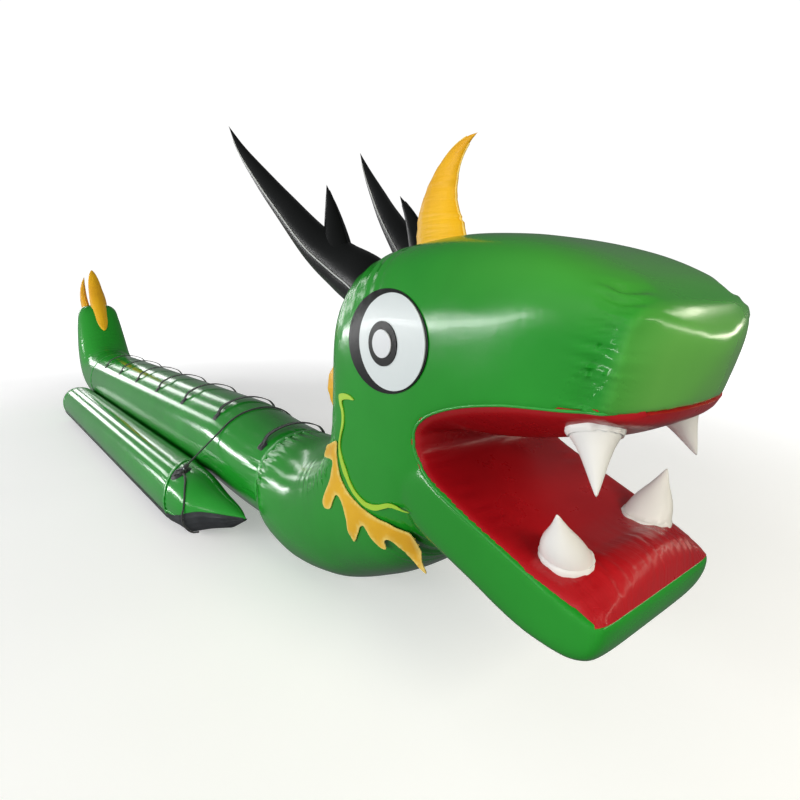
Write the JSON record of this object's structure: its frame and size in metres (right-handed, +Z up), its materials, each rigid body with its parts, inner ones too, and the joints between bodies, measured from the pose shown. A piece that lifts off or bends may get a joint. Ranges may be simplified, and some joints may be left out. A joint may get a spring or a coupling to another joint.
{
  "type": "inflatable banana boat with a dragon's head",
  "caption": "Towed inflatable banana boat: one long seat tube with a dragon's head, open mouth, horns and upright tail, two side floats and a row of grab straps.",
  "frame": {"origin": "on the floor under the middle of the boat's box", "axes": "+X to the bow, +Y to port, +Z up"},
  "size_m": [7.54, 1.154, 2.09],
  "materials": {
    "pvc_green": "glossy coated PVC fabric, inflated, leaf green",
    "pvc_red": "satin coated PVC fabric, deep red",
    "pvc_black": "satin coated PVC fabric, black",
    "pvc_white": "satin coated PVC fabric, white",
    "pvc_grey": "coated PVC fabric, light grey",
    "pvc_yellow": "coated PVC fabric, golden yellow",
    "pvc_lime": "coated PVC fabric, lime green",
    "rubber_black": "ribbed black rubber",
    "webbing_black": "woven black webbing",
    "rope_black": "braided black rope",
    "ring_steel": "polished stainless steel"
  },
  "bodies": {
    "root": {"collar_port": "pvc_yellow", "collar_stb": "pvc_yellow", "collar_trim_port": "pvc_lime", "collar_trim_stb": "pvc_lime", "crest": "pvc_yellow", "eye_black_port": "pvc_black", "eye_black_stb": "pvc_black", "eye_white_port": "pvc_white", "eye_white_stb": "pvc_white", "handle_1": "webbing_black", "handle_2": "webbing_black", "handle_3": "webbing_black", "handle_4": "webbing_black", "handle_5": "webbing_black", "handle_6": "webbing_black", "handle_7": "webbing_black", "head": "pvc_green", "horn_port": "pvc_black", "horn_spike_port": "pvc_black", "horn_spike_stb": "pvc_black", "horn_stb": "pvc_black", "jaw_lining": "pvc_red", "lashing": "rope_black", "lower_jaw": "pvc_green", "mane_fin": "pvc_yellow", "neck": "pvc_green", "nose_line_port": "rope_black", "nose_line_stb": "rope_black", "outrigger_port": "pvc_green", "outrigger_stb": "pvc_green", "palate_lining": "pvc_red", "patch_port": "rubber_black", "patch_stb": "rubber_black", "pupil_port": "pvc_grey", "pupil_ring_port": "pvc_black", "pupil_ring_stb": "pvc_black", "pupil_stb": "pvc_grey", "ring_port": "ring_steel", "ring_stb": "ring_steel", "seat_tube": "pvc_green", "strake_port": "rubber_black", "strake_stb": "rubber_black", "tail": "pvc_green", "tail_fin": "pvc_yellow", "tail_flame_port": "pvc_yellow", "tail_flame_stb": "pvc_yellow", "throat_lining": "pvc_red", "tooth_lower_port": "pvc_white", "tooth_lower_stb": "pvc_white", "tooth_upper_port": "pvc_white", "tooth_upper_stb": "pvc_white", "valve_port": "rubber_black", "valve_stb": "rubber_black", "valve_tail": "rubber_black"}
  },
  "joints": []
}
